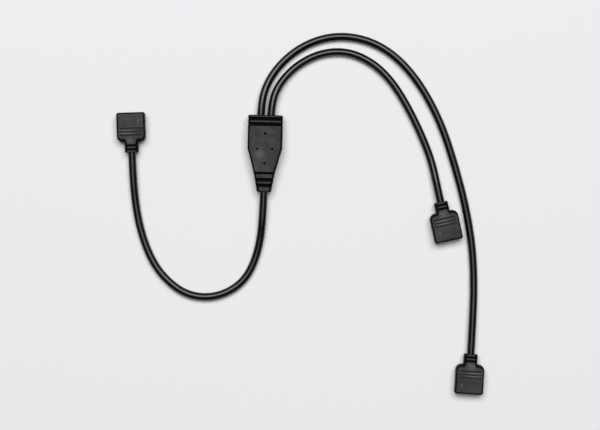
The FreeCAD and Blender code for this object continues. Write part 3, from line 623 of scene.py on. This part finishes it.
def splitter_block():
    """The splitter, lofted from the output cables' face to the end of its strain relief.

    Rows give the half width, the half height and the finish along the axis: a rim with a quarter
    ellipse edge, collar grooves between chamfered ribs, a parallel part, a straight taper, a
    quarter ellipse down to the strain relief, and the strain relief's own straight taper with a
    quarter circle edge.
    """
    wide, high = SPLITTER_HALF
    sine, cosine = quarter(RIM_ROWS)
    rows = [(SPLITTER_END + RIM_CORNER * (c - 1.0), wide - RIM_CORNER * (1.0 - s),
             high - RIM_EDGE * (1.0 - s), PLAIN) for s, c in zip(sine, cosine)]
    level = SPLITTER_END
    flat, chamfer = (wide, high, PLAIN), (wide, high - RIB_EDGE, PLAIN)
    # The groove floors take the recess material's painted shade.
    floor = (wide - COLLAR_SIDE, high - COLLAR_DEPTH, RECESS)
    for _ in range(COLLAR_GROOVES):
        level -= COLLAR_RIB
        rows += [(level + RIB_EDGE, *flat), (level, *chamfer), (level - COLLAR_WALL, *floor)]
        level -= COLLAR_GROOVE
        rows += [(level + COLLAR_WALL, *floor), (level, *chamfer), (level - RIB_EDGE, *flat)]
    slope = (wide - TAPER_HALF) / (TAPER_FROM - TAPER_TO)
    for place in np.linspace(level - RIB_EDGE, TAPER_TO + TAPER_EDGE, PANEL_ROWS)[1:]:
        rows.append((place, wide - slope * max(0.0, TAPER_FROM - place), high, PLAIN))
    root, end = RELIEF_HALF
    last = rows[-1]
    rows += [(last[0] - TAPER_EDGE * s, last[1] - (last[1] - root[0]) * (1 - c),
              high - (high - root[1]) * (1 - c), PLAIN) for s, c in zip(sine[1:], cosine[1:])]
    for share in np.linspace(0.0, 1.0, RELIEF_ROWS)[1:]:
        rows.append((TAPER_TO - share * (SPLITTER_END + TAPER_TO - RIM_EDGE),
                     root[0] + share * (end[0] - root[0]),
                     root[1] + share * (end[1] - root[1]), PLAIN))
    rows += [(RIM_EDGE * (1 - s) - SPLITTER_END, end[0] - RIM_EDGE * (1 - c),
              end[1] - RIM_EDGE * (1 - c), PLAIN) for s, c in zip(sine[1:], cosine[1:])]
    along, half_width, half_height, sunk = np.array(rows).T
    bend = np.interp(-along, (-TAPER_TO - TAPER_EDGE, -TAPER_TO, SPLITTER_END),
                     (SPLITTER_EDGE, *RELIEF_EDGES))
    across, up = sections(half_width, half_height, bend, bend)
    return loft(along, across, up, np.broadcast_to(sunk[:, None].astype(int), up.shape))


def make_splitter():
    """The splitter's housing, with its pin holes and the slots of its strain relief."""
    def shape(label, vertices, faces, finish):
        return mesh_object(label, vertices + (0, 0, SPLITTER_MIDDLE), faces, finish)

    housing = shape("splitter_moulding", *splitter_block())
    gap = slots((RELIEF_GAP,), RELIEF_GAP_WIDTH, BLIND_FLOOR, RELIEF_GAP_SPANS, RELIEF_REACH)
    between = slots(RELIEF_SLOTS, RELIEF_SLOT_WIDTH, SLOT_FLOOR, RELIEF_SPANS, RELIEF_REACH)
    for cutter in (*gap, *between):
        carve(housing, "DIFFERENCE", shape("slots", *cutter))
    face = SPLITTER_HALF[1]
    for low, high in ((face - PIN_HOLE_DEPTH, face + CUT_PAST),
                      (-face - CUT_PAST, PIN_HOLE_DEPTH - face)):
        rods = upright_rods(PIN_HOLES, PIN_HOLE_RADIUS, low, high)
        carve(housing, "DIFFERENCE", shape("pins", *rods))
    # Painted highlights: soft patches of sheen on the panel.
    paint_highlights(housing, vertex_places(housing), SPLITTER_HIGHLIGHTS)
    return dress(housing, "moulding", "splitter_housing")


# Pin mark

MARK_PLACE, MARK_HALF_WIDTH, MARK_LENGTH = (3.75, -3.0), 0.45, 3.0
# Where along its length the mark is widest, and its rings as (share of its size, rise).
MARK_WIDEST = 0.32
MARK_RINGS = ((1.0, -0.1), (1.0, 0.08), (0.85, 0.16))


def make_mark(name):
    """A raised kite on the panel over the supply way, drawn in as it rises."""
    kite = np.array(((0.0, 0.0), (-1.0, -MARK_WIDEST), (0.0, -1.0), (1.0, -MARK_WIDEST)))
    corners = kite * (MARK_HALF_WIDTH, MARK_LENGTH)
    middle = corners.mean(axis=0)
    rings = [np.column_stack((middle + (corners - middle) * draw + MARK_PLACE,
                              np.full(len(corners), SOCKET_HALF[1] + rise)))
             for draw, rise in MARK_RINGS]
    count = len(corners)
    lowest = np.arange(count)
    faces = [lowest[::-1].tolist(), (lowest + 2 * count).tolist()]
    for ring in (lowest, lowest + count):
        beside = np.roll(ring, -1)
        faces += np.stack((ring, beside, beside + count, ring + count), axis=1).tolist()
    vertices = set_in(name, np.vstack(rings))
    mark = mesh_object(f"{name}_pin_mark", vertices, faces)
    mark.data.materials.append(MATERIALS["pin_mark"])
    return dress(mark, "moulding")


# Cables

# How fine a jacket's skin is, round it and along each span of its spline.
JACKET_ROUND, JACKET_STEPS = 8, 24


def make_cable(name):
    """A round cable: a smooth spline with the route's points as its control points."""
    curve = bpy.data.curves.new(f"{name}_lead", "CURVE")
    curve.dimensions = "3D"
    curve.bevel_depth = JACKET / 2 * MM
    curve.bevel_resolution = JACKET_ROUND
    curve.use_fill_caps = True
    curve.resolution_u = JACKET_STEPS
    spline = curve.splines.new("NURBS")
    points = route_points(name) * MM
    spline.points.add(len(points) - 1)
    spline.points.foreach_set("co", np.column_stack((points, np.ones(len(points)))).ravel())
    spline.order_u = 3
    spline.use_endpoint_u = True
    curve.materials.append(MATERIALS["jacket"])
    lead = bpy.data.objects.new(f"{name}_lead", curve)
    bpy.context.scene.collection.objects.link(lead)
    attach(lead, "root")
    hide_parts(f"{name}_cable")
    return lead


make_splitter()
for end in ENDS:
    lead = make_cable(end)
    on_lead = [make_socket(end), make_mark(end)]
    on_lead += [frame["nodes"][f"{end}_{kind}_{way}"]
                for kind in ("contact", "core") for way in WAYS]
    on_lead.append(frame["nodes"][f"{end}_header"])

slot_of = {entry["node"]: entry["material_slot"] for entry in frame["record"]["subparts"]}
for node_name, node_object in frame["nodes"].items():
    node_object.data.materials.clear()
    node_object.data.materials.append(MATERIALS[slot_of[node_name]])


# Stage

# The floor reaches this far each way, and lies a little under the cables.
FLOOR_REACH, FLOOR_DROP = 6000.0, 0.02
# The camera's turn is in degrees, and the distances between which it sees are in metres.
CAMERA_PLACE, CAMERA_TURN = (17.81, -29.37, 900.0), 1.36
SENSOR_WIDTH, LENS, CLIP = 36.0, 110.7, (0.01, 20.0)


def make_floor():
    """A wide flat floor: one face between four corners, pale with a faint unevenness."""
    corners = np.array(((-1, -1, 0), (1, -1, 0), (1, 1, 0), (-1, 1, 0))) * FLOOR_REACH
    floor = mesh_object("floor", corners - (0, 0, FLOOR_DROP), [[0, 1, 2, 3]])
    paper = material("floor", (0.9, 0.905, 0.915), 0.8, specular=0.2)
    finish_with(paper, Base_Color=mixed(paper, noise(paper, 3.0),
                                        (0.885, 0.892, 0.905), (0.905, 0.91, 0.92)))
    floor.data.materials.append(paper)


def make_lamp(name, place, wide, deep, power, aim):
    """A soft lamp with a wide face, pointed from its place at a point; millimetres and watts."""
    lamp = bpy.data.lights.new(name, "AREA")
    lamp.shape, lamp.size, lamp.size_y, lamp.energy = "RECTANGLE", wide * MM, deep * MM, power
    made = bpy.data.objects.new(name, lamp)
    made.location = [value * MM for value in place]
    made.rotation_mode = "QUATERNION"
    direction = made.location - Vector([value * MM for value in aim])
    made.rotation_quaternion = direction.to_track_quat("Z", "Y")
    bpy.context.scene.collection.objects.link(made)


def make_camera():
    """The photograph's view: straight down, turned a little against the splitter's axis."""
    camera = bpy.data.cameras.new("camera")
    camera.sensor_width, camera.lens = SENSOR_WIDTH, LENS
    camera.clip_start, camera.clip_end = CLIP
    made = bpy.data.objects.new("camera", camera)
    made.location = [value * MM for value in CAMERA_PLACE]
    made.rotation_euler = (0.0, 0.0, math.radians(CAMERA_TURN))
    bpy.context.scene.collection.objects.link(made)
    bpy.context.scene.camera = made


def make_world(level):
    """An even dim surround."""
    world = bpy.data.worlds.new("surround")
    world.use_nodes = True
    shade = world.node_tree.nodes["Background"]
    shade.inputs["Color"].default_value = (0.95, 0.97, 1.0, 1.0)
    shade.inputs["Strength"].default_value = level
    bpy.context.scene.world = world


make_floor()
make_world(level=0.04)
make_lamp("key", place=(10, 1143, 2760), wide=3000, deep=1440, power=83.0, aim=(10, -30, 0))
make_lamp("overhead", place=(20, -10, 3300), wide=2700, deep=1200, power=20.5, aim=(20, -10, 0))
make_camera()
bpy.context.scene.view_settings.view_transform = "Standard"
